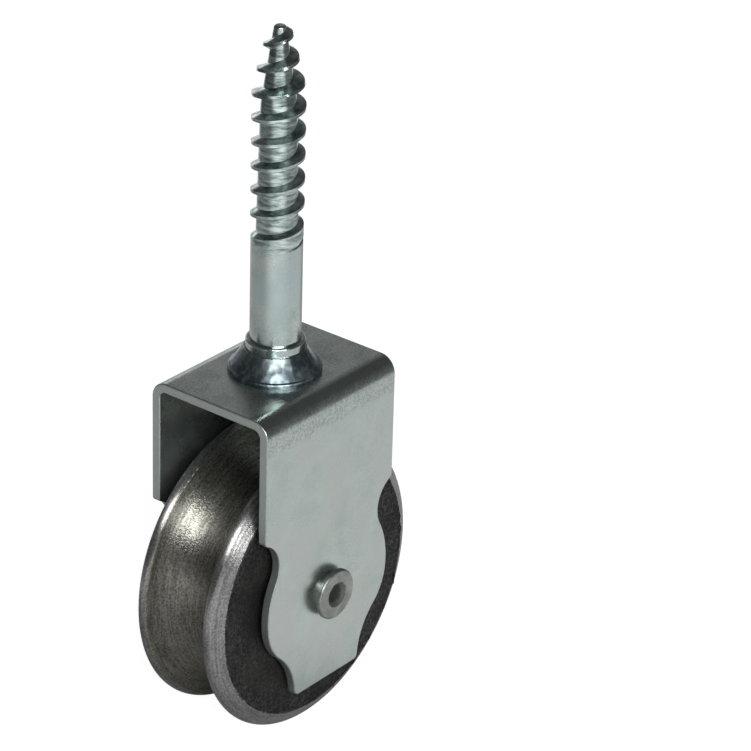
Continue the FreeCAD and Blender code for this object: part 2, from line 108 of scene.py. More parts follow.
class Graph:
    """Short way to lay out shader nodes in one node tree."""

    # A Mix node has sockets for every kind of data. These are the ones for colours.
    mix_inputs = (0, 6, 7)
    mix_output = 2

    def __init__(self, tree: bpy.types.NodeTree) -> None:
        """Keep the tree that the nodes go into."""
        self.tree = tree

    def node(self, kind: str, **settings: object) -> bpy.types.Node:
        """Add a node.

        Args:
            kind: Blender's name of the node type.
            settings: Properties of the node and their values.

        Returns:
            The new node.
        """
        made = self.tree.nodes.new(kind)
        for name, value in settings.items():
            setattr(made, name, value)
        return made

    def feed(self, socket: Socket, value: Feed) -> None:
        """Give an input socket a link or a fixed value.

        Args:
            socket: The input socket.
            value: An output socket to link from, or a value to set.
        """
        if isinstance(value, Socket):
            self.tree.links.new(value, socket)
        else:
            socket.default_value = value

    def coordinate(self, kind: Coordinate) -> Socket:
        """Return one of the coordinates."""
        return self.node("ShaderNodeTexCoord").outputs[kind.value]

    def split(self, vector: Feed) -> Sockets:
        """Split a vector.

        Args:
            vector: The vector.

        Returns:
            The sockets of its x, y and z.
        """
        made = self.node("ShaderNodeSeparateXYZ")
        self.feed(made.inputs[0], vector)
        return made.outputs

    def join(self, *parts: Feed) -> Socket:
        """Join numbers to a vector.

        Args:
            parts: Its x, y and z, as far as they are given.

        Returns:
            The vector's socket.
        """
        made = self.node("ShaderNodeCombineXYZ")
        for socket, value in zip(made.inputs, parts):
            self.feed(socket, value)
        return made.outputs[0]

    def math(self, operation: str, *values: Feed) -> Socket:
        """Add a Math node.

        Args:
            operation: Blender's name of the operation.
            values: One to three sockets or numbers.

        Returns:
            The result's socket.
        """
        made = self.node("ShaderNodeMath", operation=operation)
        for socket, value in zip(made.inputs, values):
            self.feed(socket, value)
        return made.outputs[0]

    def length(self, first: Feed, second: Feed) -> Socket:
        """Return the length of a flat vector that has these two parts."""
        square = self.math("MULTIPLY", second, second)
        return self.math("SQRT", self.math("MULTIPLY_ADD", first, first, square))

    def vector(self, operation: str, first: Feed, second: Feed) -> Sockets:
        """Add a Vector Math node.

        Args:
            operation: Blender's name of the operation.
            first: The first vector.
            second: The second vector.

        Returns:
            The node's outputs.
        """
        made = self.node("ShaderNodeVectorMath", operation=operation)
        self.feed(made.inputs[0], first)
        self.feed(made.inputs[1], second)
        return made.outputs

    def spread(self, value: Feed, ramp: Ramp) -> Socket:
        """Map a value from one range to another, smoothly and without leaving it.

        Args:
            value: The value to map.
            ramp: The two ranges.

        Returns:
            The mapped value's socket.
        """
        made = self.node("ShaderNodeMapRange", interpolation_type="SMOOTHSTEP")
        self.feed(made.inputs["Value"], value)
        self.feed(made.inputs["From Min"], ramp.low)
        self.feed(made.inputs["From Max"], ramp.high)
        self.feed(made.inputs["To Min"], ramp.to_low)
        self.feed(made.inputs["To Max"], ramp.to_high)
        return made.outputs["Result"]

    def mix(self, share: Feed, first: Feed, second: Feed) -> Socket:
        """Mix two colours.

        Args:
            share: Share of the second colour.
            first: Colour at share 0.
            second: Colour at share 1.

        Returns:
            The mixed colour's socket.
        """
        made = self.node("ShaderNodeMix", data_type="RGBA")
        for place, value in zip(self.mix_inputs, (share, first, second)):
            self.feed(made.inputs[place], value)
        return made.outputs[self.mix_output]

    def noise(self, vector: Feed, scale: Feed, octaves: float, rough: float = 0.5) -> Socket:
        """Add a noise texture.

        Args:
            vector: Coordinates that it reads.
            scale: Waves in a unit of them.
            octaves: How many finer layers it has.
            rough: Share that each finer layer keeps.

        Returns:
            The noise value's socket.
        """
        made = self.node("ShaderNodeTexNoise")
        self.feed(made.inputs["Vector"], vector)
        self.feed(made.inputs["Scale"], scale)
        self.feed(made.inputs["Detail"], octaves)
        self.feed(made.inputs["Roughness"], rough)
        return made.outputs["Fac"]

    def group(self, tree: bpy.types.NodeTree, **inputs: Feed) -> Sockets:
        """Place a node group.

        Args:
            tree: The group.
            inputs: Its inputs, with spaces in their names written as underscores.

        Returns:
            The group's outputs.
        """
        made = self.node("ShaderNodeGroup", node_tree=tree)
        for name, value in inputs.items():
            self.feed(made.inputs[name.replace("_", " ")], value)
        return made.outputs


def rgba(colour: Colour) -> Tuple[float, float, float, float]:
    """Return a colour with full alpha."""
    return (*colour, 1.0)


def grey(bright: float) -> Tuple[float, float, float, float]:
    """Return a grey with full alpha."""
    return rgba((bright, bright, bright))


def direction(azimuth: float, elevation: float) -> Vector:
    """Return a direction.

    Args:
        azimuth: Degrees from the front, counted as the camera's.
        elevation: Degrees above the horizon.

    Returns:
        The unit vector that points there.
    """
    turn = math.radians(azimuth)
    rise = math.radians(elevation)
    level = math.cos(rise)
    return Vector((math.sin(turn) * level, -math.cos(turn) * level, math.sin(rise)))


class EffectGroup:
    """Shader node group with named inputs and outputs, built once."""

    name = "effect"
    inputs: Dict[str, float] = {}
    outputs: Sequence[str] = ()

    def __init__(self) -> None:
        """Make the group's sockets and lay out its nodes."""
        self.tree = bpy.data.node_groups.new(self.name, "ShaderNodeTree")
        face = self.tree.interface
        for label, value in self.inputs.items():
            socket = face.new_socket(name=label, in_out="INPUT", socket_type="NodeSocketFloat")
            socket.default_value = value
        for label in self.outputs:
            face.new_socket(name=label, in_out="OUTPUT", socket_type="NodeSocketFloat")
        self.graph = Graph(self.tree)
        self.source = self.graph.node("NodeGroupInput").outputs
        self.sink = self.graph.node("NodeGroupOutput").inputs
        self.place = self.graph.coordinate(Coordinate.PLACE)
        self.lay_out()

    def lay_out(self) -> None:
        """Lay out the nodes between the group's inputs and outputs."""


class FineGrain(EffectGroup):
    """Fine speckle of a metal skin, with a slow cloudiness under it and a slower drift of hue."""

    name = "fine_grain"
    inputs = {"Grain": 2500.0, "Cloud": 60.0, "Drift": 110.0}
    outputs = ("Speckle", "Cloud", "Drift")
    scales = {"Speckle": "Grain", "Cloud": "Cloud", "Drift": "Drift"}
    octaves = {"Speckle": 3.0, "Cloud": 2.0, "Drift": 1.0}
    rough = 0.55
    drift_shift = (0.37, 0.11, 0.73)

    def lay_out(self) -> None:
        """Feed three noises of the given scales to the outputs."""
        moved = self.graph.vector("ADD", self.place, self.drift_shift)[0]
        for label in self.outputs:
            place = moved if label == "Drift" else self.place
            scale = self.source[self.scales[label]]
            noise = self.graph.noise(place, scale, self.octaves[label], self.rough)
            self.graph.feed(self.sink[label], noise)


class AxleTurning(EffectGroup):
    """Lines that a lathe leaves round the axle, and the radius from it."""

    name = "axle_turning"
    inputs = {"Axle Height": 0.0, "Lines": 1500.0, "Along": 3.0}
    outputs = ("Lines", "Radius", "Across")
    octaves = 2.0

    def lay_out(self) -> None:
        """Stretch a noise round the axle: it varies fast over the profile and slowly round the turn."""
        graph = self.graph
        x, y, z = graph.split(self.place)
        height = graph.math("SUBTRACT", z, self.source["Axle Height"])
        radius = graph.length(x, height)
        cosine = graph.math("MULTIPLY", graph.math("DIVIDE", x, radius), self.source["Along"])
        sine = graph.math("MULTIPLY", graph.math("DIVIDE", height, radius), self.source["Along"])
        across = graph.math("MULTIPLY", y, self.source["Lines"])
        lines = graph.node("ShaderNodeTexNoise", noise_dimensions="4D")
        graph.feed(lines.inputs["Vector"], graph.join(cosine, sine, across))
        graph.feed(lines.inputs["W"], graph.math("MULTIPLY", radius, self.source["Lines"]))
        graph.feed(lines.inputs["Scale"], 1.0)
        graph.feed(lines.inputs["Detail"], self.octaves)
        graph.feed(self.sink["Lines"], lines.outputs["Fac"])
        graph.feed(self.sink["Radius"], radius)
        graph.feed(self.sink["Across"], y)


class SheetCut(EffectGroup):
    """Where a folded sheet shows its cut faces and folds, with the lines that shears leave."""

    name = "sheet_cut"
    inputs = {"Bridge Height": 0.0, "Lines": 4000.0}
    outputs = ("Cut", "Fold", "Lines")
    end_face = Ramp(0.45, 0.75)
    lower_face = Ramp(0.35, 0.65, 1.0, 0.0)
    fold_start = Ramp(0.1, 0.4)
    fold_end = Ramp(0.7, 0.97, 1.0, 0.0)
    lines_across = 300.0
    octaves = 2.0

    def lay_out(self) -> None:
        """Tell cut faces and folds by where they face: along the fork or downwards, or aslant."""
        graph = self.graph
        along, aside, _ = graph.split(graph.coordinate(Coordinate.FACING))
        x, y, z = graph.split(self.place)
        end = graph.spread(graph.math("ABSOLUTE", along), self.end_face)
        sideways = graph.math("ABSOLUTE", aside)
        starts = graph.spread(sideways, self.fold_start)
        ends = graph.spread(sideways, self.fold_end)
        graph.feed(self.sink["Fold"], graph.math("MULTIPLY", starts, ends))
        below = graph.math("LESS_THAN", z, self.source["Bridge Height"])
        lower = graph.math("MULTIPLY", graph.spread(sideways, self.lower_face), below)
        graph.feed(self.sink["Cut"], graph.math("MAXIMUM", end, lower))
        rise = graph.math("MULTIPLY", graph.math("ADD", x, z), self.source["Lines"])
        across = graph.math("MULTIPLY", y, self.lines_across)
        lines = graph.noise(graph.join(rise, across), 1.0, self.octaves)
        graph.feed(self.sink["Lines"], lines)


@dataclass(frozen=True)
class Effects:
    """Effect groups that the finishes share."""

    grain: bpy.types.NodeTree
    turning: bpy.types.NodeTree
    cut: bpy.types.NodeTree


@dataclass(frozen=True)
class Coat:
    """A material in the making: its nodes, its Principled shader and the effects to place in it."""

    graph: Graph
    shader: bpy.types.Node
    effects: Effects

    def feed(self, label: str, value: Feed) -> None:
        """Give one of the shader's inputs a link or a fixed value."""
        self.graph.feed(self.shader.inputs[label], value)

    def fed_by(self, label: str) -> Socket:
        """Return the socket that one of the shader's inputs is linked from."""
        return self.shader.inputs[label].links[0].from_socket

    def grain(self, speckle: float, cloud: float) -> Sockets:
        """Place the grain group, with so many speckles and clouds in a metre."""
        return self.graph.group(self.effects.grain, Grain=speckle, Cloud=cloud)

    def turning(self, axle_height: float, lines: float, along: float) -> Sockets:
        """Place the group of turned lines, with so many in a metre that change so often along the turn."""
        tree = self.effects.turning
        return self.graph.group(tree, Axle_Height=axle_height, Lines=lines, Along=along)

    def raise_bump(self, height: Feed, strength: float, depth: float) -> None:
        """Feed a height through a Bump node to the shader's normal.

        Args:
            height: The height, 0 to 1.
            strength: Strength of the bump.
            depth: Height in metres of a value of 1.
        """
        bump = self.graph.node("ShaderNodeBump")
        self.graph.feed(bump.inputs["Strength"], strength)
        self.graph.feed(bump.inputs["Distance"], depth)
        self.graph.feed(bump.inputs["Height"], height)
        self.feed("Normal", bump.outputs["Normal"])


class Finish:
    """Base of the finishes: one material with a Principled shader."""

    name = "finish"

    def make(self, effects: Effects) -> bpy.types.Material:
        """Make the material.

        Args:
            effects: Effect groups to place in it.

        Returns:
            The material.
        """
        made = bpy.data.materials.new(self.name)
        made.use_nodes = True
        shader = made.node_tree.nodes["Principled BSDF"]
        self.lay_out(Coat(Graph(made.node_tree), shader, effects))
        return made

    def lay_out(self, coat: Coat) -> None:
        """Lay out the nodes that feed the shader."""


@dataclass(frozen=True)
class ZincPlate(Finish):
    """Bright zinc on steel: cool grey, satin, slightly cloudy and drifting in hue."""

    name: str = "zinc_plate"
    pale: Colour = (0.44, 0.495, 0.472)
    deep: Colour = (0.335, 0.388, 0.368)
    tint: Colour = (0.415, 0.44, 0.425)
    speckle: float = 2300.0
    cloud: float = 190.0
    cloud_share: float = 0.65
    speckle_share: float = 0.35
    pale_ramp: Ramp = Ramp(0.22, 0.72)
    tint_ramp: Ramp = Ramp(0.42, 0.68, 0.0, 0.75)
    rough_ramp: Ramp = Ramp(0.3, 0.7, 0.24, 0.32)
    metallic: float = 1.0
    bump: float = 0.3
    bump_depth: float = 0.012 * MM

    def tone(self, graph: Graph, grain: Sockets) -> Socket:
        """Mix the zinc's colour, cloudy and finely speckled.

        Args:
            graph: The material's nodes.
            grain: Outputs of the grain group.

        Returns:
            The colour's socket.
        """
        cloud = graph.math("MULTIPLY", grain["Cloud"], self.cloud_share)
        tone = graph.math("MULTIPLY_ADD", grain["Speckle"], self.speckle_share, cloud)
        zinc = graph.mix(graph.spread(tone, self.pale_ramp), rgba(self.deep), rgba(self.pale))
        return graph.mix(graph.spread(grain["Drift"], self.tint_ramp), zinc, rgba(self.tint))

    def gloss(self, graph: Graph, grain: Sockets) -> Socket:
        """Return the roughness, which follows the clouds."""
        return graph.spread(grain["Cloud"], self.rough_ramp)

    def height(self, graph: Graph, grain: Sockets) -> Socket:
        """Return the height that the bump raises."""
        return grain["Speckle"]

    def lay_out(self, coat: Coat) -> None:
        """Vary tone, gloss and height with the grain.

        Args:
            coat: The material in the making.
        """
        grain = coat.grain(self.speckle, self.cloud)
        coat.feed("Base Color", self.tone(coat.graph, grain))
        coat.feed("Roughness", self.gloss(coat.graph, grain))
        coat.feed("Metallic", self.metallic)
        coat.raise_bump(self.height(coat.graph, grain), self.bump, self.bump_depth)


@dataclass(frozen=True)
class ZincStem(ZincPlate):
    """Zinc on the stem: bluer and glossier, dented on the headed foot, streaked on the thread, with
    painted shade on the thread's upward flanks.
    """

    name: str = "zinc_stem"
    pale: Colour = (0.49, 0.545, 0.528)
    deep: Colour = (0.26, 0.312, 0.298)
    tint: Colour = (0.37, 0.45, 0.452)
    rough_ramp: Ramp = Ramp(0.3, 0.7, 0.13, 0.24)
    bump_depth: float = 0.025 * MM
    foot: Colour = (0.085, 0.115, 0.128)
    foot_pale: Colour = (0.2, 0.262, 0.29)
    foot_top: float = -2.0 * MM
    foot_fade: float = 0.2 * MM
    foot_patches: Ramp = Ramp(0.4, 0.6, 0.95, 0.55)
    foot_dull: float = 0.15
    flecks: float = 950.0
    fleck_octaves: float = 2.0
    fleck_rough: float = 0.55
    fleck_ramp: Ramp = Ramp(0.38, 0.66)
    dents: float = 330.0
    dent_octaves: float = 1.0
    dent_rough: float = 0.4
    dent_height: float = 42.0
    thread_start: float = 19.3 * MM
    thread_fade: float = 0.5 * MM
    thread_share: float = 0.88
    streak_pale: Colour = (0.555, 0.64, 0.62)
    streak_deep: Colour = (0.095, 0.14, 0.138)
    streak_ramp: Ramp = Ramp(0.28, 0.7)
    streaks_up: float = 1300.0
    streaks_round: float = 300.0
    streak_octaves: float = 3.0
    streak_rough: float = 0.6
    streak_height: float = 7.0
    flank_shade_ramp: Ramp = Ramp(0.2, 0.5, 1.0, 0.8)

    def headed(self, graph: Graph, most: float) -> Socket:
        """Return a mask that has its most on the headed foot."""
        _, _, z = graph.split(graph.coordinate(Coordinate.PLACE))
        return graph.spread(z, Ramp(self.foot_top, self.foot_top + self.foot_fade, most, 0.0))

    def threaded(self, graph: Graph, most: float) -> Socket:
        """Mask the rolled thread.

        Args:
            graph: The material's nodes.
            most: Value on the thread.

        Returns:
            The mask's socket.
        """
        _, _, z = graph.split(graph.coordinate(Coordinate.PLACE))
        full = self.thread_start + self.thread_fade
        return graph.spread(z, Ramp(self.thread_start, full, 0.0, most))

    def streaks(self, graph: Graph) -> Socket:
        """Draw a noise out round the stem.

        Args:
            graph: The material's nodes.

        Returns:
            The noise value's socket.
        """
        waves = (self.streaks_round, self.streaks_round, self.streaks_up)
        place = graph.vector("MULTIPLY", graph.coordinate(Coordinate.PLACE), waves)[0]
        return graph.noise(place, 1.0, self.streak_octaves, self.streak_rough)

    def tone(self, graph: Graph, grain: Sockets) -> Socket:
        """Mix the colour: flecked and darker in patches on the foot, streaked on the thread, with painted
        shade on upward flanks.

        Args:
            graph: The material's nodes.
            grain: Outputs of the grain group.

        Returns:
            The colour's socket.
        """
        zinc = super().tone(graph, grain)
        _, _, upward = graph.split(graph.coordinate(Coordinate.FACING))
        light = graph.spread(self.streaks(graph), self.streak_ramp)
        # Painted shade: thread flanks that face upward get less of the pale streaks, so they look darker.
        light = graph.math("MULTIPLY", light, graph.spread(upward, self.flank_shade_ramp))
        streaked = graph.mix(light, rgba(self.streak_deep), rgba(self.streak_pale))
        zinc = graph.mix(self.threaded(graph, self.thread_share), zinc, streaked)
        place = graph.coordinate(Coordinate.PLACE)
        flecks = graph.noise(place, self.flecks, self.fleck_octaves, self.fleck_rough)
        flecks = graph.spread(flecks, self.fleck_ramp)
        foot = graph.mix(flecks, rgba(self.foot), rgba(self.foot_pale))
        patches = graph.spread(grain["Drift"], self.foot_patches)
        patches = graph.math("MULTIPLY", patches, self.headed(graph, 1.0))
        return graph.mix(patches, zinc, foot)

    def gloss(self, graph: Graph, grain: Sockets) -> Socket:
        """Return the roughness, higher on the headed foot."""
        return graph.math("ADD", super().gloss(graph, grain), self.headed(graph, self.foot_dull))

    def height(self, graph: Graph, grain: Sockets) -> Socket:
        """Add up the height: streaks round the thread, dents on the foot, fine grain all over.

        Args:
            graph: The material's nodes.
            grain: Outputs of the grain group.

        Returns:
            The height's socket.
        """
        place = graph.coordinate(Coordinate.PLACE)
        dents = graph.noise(place, self.dents, self.dent_octaves, self.dent_rough)
        rolled = self.threaded(graph, self.streak_height)
        height = graph.math("MULTIPLY_ADD", self.streaks(graph), rolled, grain["Speckle"])
        return graph.math("MULTIPLY_ADD", dents, self.headed(graph, self.dent_height), height)


@dataclass(frozen=True)
class ZincSheet(ZincPlate):
    """Zinc on the folded sheet, with grime grains on bridge and folds and painted shade along the folds,
    dull and lined on the sheared faces.
    """

    bridge_height: float = 0.0
    metallic: float = 0.93
    grime_and_fold_shade: Colour = (0.15, 0.17, 0.165)
    grime_height: Ramp = Ramp(-2.8 * MM, -1.2 * MM)
    grime_and_fold_shade_grains: Ramp = Ramp(0.38, 0.6, 0.4, 0.0)
    fold_painted_shade: float = 0.8
    sheared: Colour = (0.42, 0.46, 0.44)
    sheared_lines: Ramp = Ramp(0.3, 0.7, 0.55, 1.0)
    sheared_rough: float = 0.42

    def tone(self, graph: Graph, grain: Sockets) -> Socket:
        """Mix the colour, with dark grains on the bridge and the folds.

        Args:
            graph: The material's nodes.
            grain: Outputs of the grain group.

        Returns:
            The colour's socket.
        """
        _, _, z = graph.split(graph.coordinate(Coordinate.PLACE))
        height = graph.math("SUBTRACT", z, self.bridge_height)
        over = graph.spread(height, self.grime_height)
        grains = graph.math("MULTIPLY", graph.spread(grain["Speckle"], self.grime_and_fold_shade_grains), over)
        return graph.mix(grains, super().tone(graph, grain), rgba(self.grime_and_fold_shade))

    def lay_out(self, coat: Coat) -> None:
        """Darken the folds with painted shade and lay the sheared look over the zinc where the sheet was
        cut.

        Args:
            coat: The material in the making.
        """
        graph = coat.graph
        grain = coat.grain(self.speckle, self.cloud)
        cut = graph.group(coat.effects.cut, Bridge_Height=self.bridge_height)
        # Painted shade: the folds are darkened towards the grime colour.
        fold_shade = graph.math("MULTIPLY", cut["Fold"], self.fold_painted_shade)
        tone = graph.mix(fold_shade, self.tone(graph, grain), rgba(self.grime_and_fold_shade))
        lined = graph.spread(cut["Lines"], self.sheared_lines)
        sheared = graph.math("MULTIPLY", cut["Cut"], lined)
        coat.feed("Base Color", graph.mix(sheared, tone, rgba(self.sheared)))
        dull = graph.math("MULTIPLY", cut["Cut"], self.sheared_rough)
        coat.feed("Roughness", graph.math("MAXIMUM", self.gloss(graph, grain), dull))
        coat.feed("Metallic", self.metallic)
        lines = graph.math("MULTIPLY", cut["Cut"], cut["Lines"])
        height = graph.math("ADD", self.height(graph, grain), lines)
        coat.raise_bump(height, self.bump, self.bump_depth)


@dataclass(frozen=True)
class TurnedWheelSteel(Finish):
    """Turned steel rim that sparkles, brownish in the groove, with dark cast skin inside the bevels."""

    name: str = "wheel_steel"
    axle_height: float = 0.0
    middle: float = 0.0
    half_width: float = 0.01
    speckle: float = 2400.0
    cloud: float = 120.0
    lines: float = 2600.0
    lines_round: float = 5.0
    lines_ramp: Ramp = Ramp(0.3, 0.7)
    speckle_ramp: Ramp = Ramp(0.35, 0.68)
    lines_share: float = 0.45
    speckle_share: float = 0.55
    groove_pale: Colour = (0.33, 0.325, 0.29)
    groove_deep: Colour = (0.09, 0.088, 0.075)
    bevel_pale: Colour = (0.345, 0.347, 0.345)
    bevel_deep: Colour = (0.12, 0.12, 0.118)
    crest_across: float = 7.2 * MM
    crest_radius: float = 28.4 * MM
    crest_fade: float = 0.8 * MM
    rough_ramp: Ramp = Ramp(0.3, 0.7, 0.36, 0.44)
    crest_gloss: float = 0.08
    metallic: float = 0.9
    across_grain: float = 0.9
    quarter_turn: float = 0.25
    skin: Colour = (0.025, 0.024, 0.024)
    skin_radius: float = 27.3 * MM
    skin_ragged: float = 0.8 * MM
    skin_depth: float = 0.05 * MM
    skin_dull: float = 0.3
    skin_metallic: float = 0.2
    lines_height: float = 0.3
    crest_height: Ramp = Ramp(0.0, 1.0, 1.0, 0.15)
    bump: float = 0.7
    bump_depth: float = 0.06 * MM

    def lay_out(self, coat: Coat) -> None:
        """Tell groove, bevels and cast sides by their place and give each its own look.

        Args:
            coat: The material in the making.
        """
        graph = coat.graph
        turning = coat.turning(self.axle_height, self.lines, self.lines_round)
        grain = coat.grain(self.speckle, self.cloud)
        across = graph.math("ABSOLUTE", graph.math("SUBTRACT", turning["Across"], self.middle))
        skin = self.cast_side(graph, across, turning["Radius"], grain["Speckle"])
        crest_end = self.crest_across + self.crest_fade
        outside = graph.spread(across, Ramp(self.crest_across, crest_end))
        crest_top = self.crest_radius + self.crest_fade
        crest = graph.spread(turning["Radius"], Ramp(self.crest_radius, crest_top))
        lines = graph.spread(turning["Lines"], self.lines_ramp)
        turned = self.tone(graph, lines, grain["Speckle"], outside)
        coat.feed("Base Color", graph.mix(skin, turned, rgba(self.skin)))
        less_metal = self.skin_metallic - self.metallic
        coat.feed("Metallic", graph.math("MULTIPLY_ADD", skin, less_metal, self.metallic))
        rough = graph.spread(grain["Cloud"], self.rough_ramp)
        worn = graph.math("MAXIMUM", crest, outside)
        rough = graph.math("MULTIPLY_ADD", worn, -self.crest_gloss, rough)
        coat.feed("Roughness", graph.math("MULTIPLY_ADD", skin, self.skin_dull, rough))
        coat.feed("Anisotropic", self.across_grain)
        coat.feed("Anisotropic Rotation", self.quarter_turn)
        round_axle = graph.node("ShaderNodeTangent", direction_type="RADIAL", axis="Y")
        coat.feed("Tangent", round_axle.outputs[0])
        height = graph.math("MULTIPLY_ADD", lines, self.lines_height, grain["Speckle"])
        height = graph.math("MULTIPLY", height, graph.spread(crest, self.crest_height))
        coat.raise_bump(height, self.bump, self.bump_depth)

    def cast_side(self, graph: Graph, across: Socket, radius: Socket, speckle: Socket) -> Socket:
        """Mask the cast sides of the wheel, with a ragged edge at the bevel.

        Args:
            graph: The material's nodes.
            across: Distance from the middle of the wheel along the axle.
            radius: Distance from the axle.
            speckle: The grain's speckle.

        Returns:
            The mask's socket.
        """
        at_side = graph.math("GREATER_THAN", across, self.half_width - self.skin_depth)
        ragged = graph.math("MULTIPLY_ADD", speckle, self.skin_ragged, radius)
        return graph.math("MULTIPLY", at_side, graph.math("LESS_THAN", ragged, self.skin_radius))

    def tone(self, graph: Graph, lines: Socket, speckle: Socket, outside: Socket) -> Socket:
        """Mix the colour of the turned faces.

        Args:
            graph: The material's nodes.
            lines: The turned lines.
            speckle: The grain's speckle.
            outside: Share of the bevels against the groove.

        Returns:
            The colour's socket.
        """
        sparkle = graph.math("MULTIPLY", graph.spread(speckle, self.speckle_ramp), self.speckle_share)
        tone = graph.math("MULTIPLY_ADD", lines, self.lines_share, sparkle)
        groove = graph.mix(tone, rgba(self.groove_deep), rgba(self.groove_pale))
        bevel = graph.mix(tone, rgba(self.bevel_deep), rgba(self.bevel_pale))
        return graph.mix(outside, groove, bevel)


@dataclass(frozen=True)
class CastSkinIron(Finish):
    """Rough, near black casting skin, a little greyer on its raised grains."""

    name: str = "cast_skin"
    dark: Colour = (0.005, 0.005, 0.005)
    pale: Colour = (0.042, 0.041, 0.04)
    brown: Colour = (0.02, 0.018, 0.017)
    speckle: float = 2000.0
    cloud: float = 150.0
    grain_ramp: Ramp = Ramp(0.4, 0.72)
    patch_ramp: Ramp = Ramp(0.38, 0.62, 0.25, 1.0)
    brown_ramp: Ramp = Ramp(0.45, 0.7, 0.0, 0.6)
    rough_ramp: Ramp = Ramp(0.35, 0.7, 0.75, 0.5)
    metallic: float = 0.3
    specular: float = 0.3
    bump: float = 0.9
    bump_depth: float = 0.12 * MM

    def lay_out(self, coat: Coat) -> None:
        """Mix dark, grey and brown grains of two sizes.

        Args:
            coat: The material in the making.
        """
        graph = coat.graph
        fine = coat.grain(self.speckle, self.cloud)
        lit = graph.spread(fine["Drift"], self.patch_ramp)
        grains = graph.math("MULTIPLY", graph.spread(fine["Speckle"], self.grain_ramp), lit)
        blotch = graph.spread(fine["Cloud"], self.brown_ramp)
        base = graph.mix(blotch, rgba(self.dark), rgba(self.brown))
        coat.feed("Base Color", graph.mix(grains, base, rgba(self.pale)))
        coat.feed("Metallic", self.metallic)
        coat.feed("Specular IOR Level", self.specular)
        coat.feed("Roughness", graph.spread(fine["Speckle"], self.rough_ramp))
        coat.raise_bump(fine["Speckle"], self.bump, self.bump_depth)


@dataclass(frozen=True)
class HammeredSteel(Finish):
    """Grey steel, dulled by the hammer or the press."""

    name: str = "rivet_steel"
    pale: Colour = (0.31, 0.325, 0.31)
    deep: Colour = (0.19, 0.2, 0.19)
    speckle: float = 1500.0
    cloud: float = 500.0
    pale_ramp: Ramp = Ramp(0.25, 0.75)
    rough_ramp: Ramp = Ramp(0.3, 0.7, 0.34, 0.48)
    bump: float = 0.35
    bump_depth: float = 0.04 * MM

    def lay_out(self, coat: Coat) -> None:
        """Vary tone, gloss and height with the grain.

        Args:
            coat: The material in the making.
        """
        graph = coat.graph
        grain = coat.grain(self.speckle, self.cloud)
        tone = graph.spread(grain["Cloud"], self.pale_ramp)
        coat.feed("Base Color", graph.mix(tone, rgba(self.deep), rgba(self.pale)))
        coat.feed("Roughness", graph.spread(grain["Speckle"], self.rough_ramp))
        coat.feed("Metallic", 1.0)
        coat.raise_bump(grain["Cloud"], self.bump, self.bump_depth)


@dataclass(frozen=True)
class RivetSteel(HammeredSteel):
    """Steel of the rivet, with painted shade in the dimple of the hammered tail."""

    axle_height: float = 0.0
    tail_end: float = 0.0
    tail_depth: float = 1.5 * MM
    dimple_radius: float = 2.9 * MM
    dimple_shade: Colour = (0.05, 0.051, 0.05)
    dimple_shade_core: float = 0.65
    dimple_shade_rim: float = 0.4
    dimple_shade_edge: float = 0.2 * MM
    dull: float = 0.4
    dull_edge: float = 0.3 * MM
    ragged: float = 0.8 * MM
    lines: float = 900.0
    lines_round: float = 3.0

    def lay_out(self, coat: Coat) -> None:
        """Darken the dimple with painted shade and dull it, with a ragged edge.

        Args:
            coat: The material in the making.
        """
        super().lay_out(coat)
        graph = coat.graph
        turning = coat.turning(self.axle_height, self.lines, self.lines_round)
        edge = graph.math("MULTIPLY_ADD", turning["Lines"], self.ragged, turning["Radius"])
        at_tail = graph.math("LESS_THAN", turning["Across"], self.tail_end + self.tail_depth)
        # Painted shade: the dimple darkens most inside its core and fades towards the rim.
        core = self.dimple_shade_core * self.dimple_radius
        fading = graph.spread(edge, Ramp(core, self.dimple_radius, 1.0, self.dimple_shade_rim))
        inside = graph.math("LESS_THAN", edge, self.dimple_radius + self.dimple_shade_edge)
        dimple_shade = graph.math("MULTIPLY", graph.math("MULTIPLY", at_tail, fading), inside)
        coat.feed("Base Color", graph.mix(dimple_shade, coat.fed_by("Base Color"), rgba(self.dimple_shade)))
        dull_end = self.dimple_radius + self.dull_edge
        dull = graph.spread(edge, Ramp(self.dimple_radius, dull_end, self.dull, 0.0))
        dull = graph.math("MULTIPLY", at_tail, dull)
        coat.feed("Roughness", graph.math("ADD", dull, coat.fed_by("Roughness")))


@dataclass(frozen=True)
class GroundSteel(Finish):
    """Ground bearing steel with fine lines round the axle."""

    name: str = "bearing_steel"
    axle_height: float = 0.0
    pale: Colour = (0.55, 0.55, 0.54)
    deep: Colour = (0.36, 0.36, 0.36)
    lines: float = 4000.0
    lines_round: float = 2.0
    lines_ramp: Ramp = Ramp(0.3, 0.7)
    rough_ramp: Ramp = Ramp(0.0, 1.0, 0.18, 0.3)
    bump: float = 0.2
    bump_depth: float = 0.01 * MM

    def lay_out(self, coat: Coat) -> None:
        """Vary tone, gloss and height with the grinding lines.

        Args:
            coat: The material in the making.
        """
        graph = coat.graph
        turning = coat.turning(self.axle_height, self.lines, self.lines_round)
        lines = graph.spread(turning["Lines"], self.lines_ramp)
        coat.feed("Base Color", graph.mix(lines, rgba(self.deep), rgba(self.pale)))
        coat.feed("Roughness", graph.spread(lines, self.rough_ramp))
        coat.feed("Metallic", 1.0)
        coat.raise_bump(lines, self.bump, self.bump_depth)


class Dresser:
    """Makes each finish's material once and puts it on CAD nodes."""

    def __init__(self, effects: Effects) -> None:
        """Keep the effect groups."""
        self.effects = effects
        self.made: Dict[Finish, bpy.types.Material] = {}

    def material(self, finish: Finish) -> bpy.types.Material:
        """Give a finish's material.

        Args:
            finish: The finish.

        Returns:
            Its material, made when it is first asked for.
        """
        if finish not in self.made:
            self.made[finish] = finish.make(self.effects)
        return self.made[finish]

    def dress(self, node: str, finish: Finish) -> None:
        """Put a finish on a CAD node."""
        for slot in frame["nodes"][node].material_slots:
            slot.material = self.material(finish)


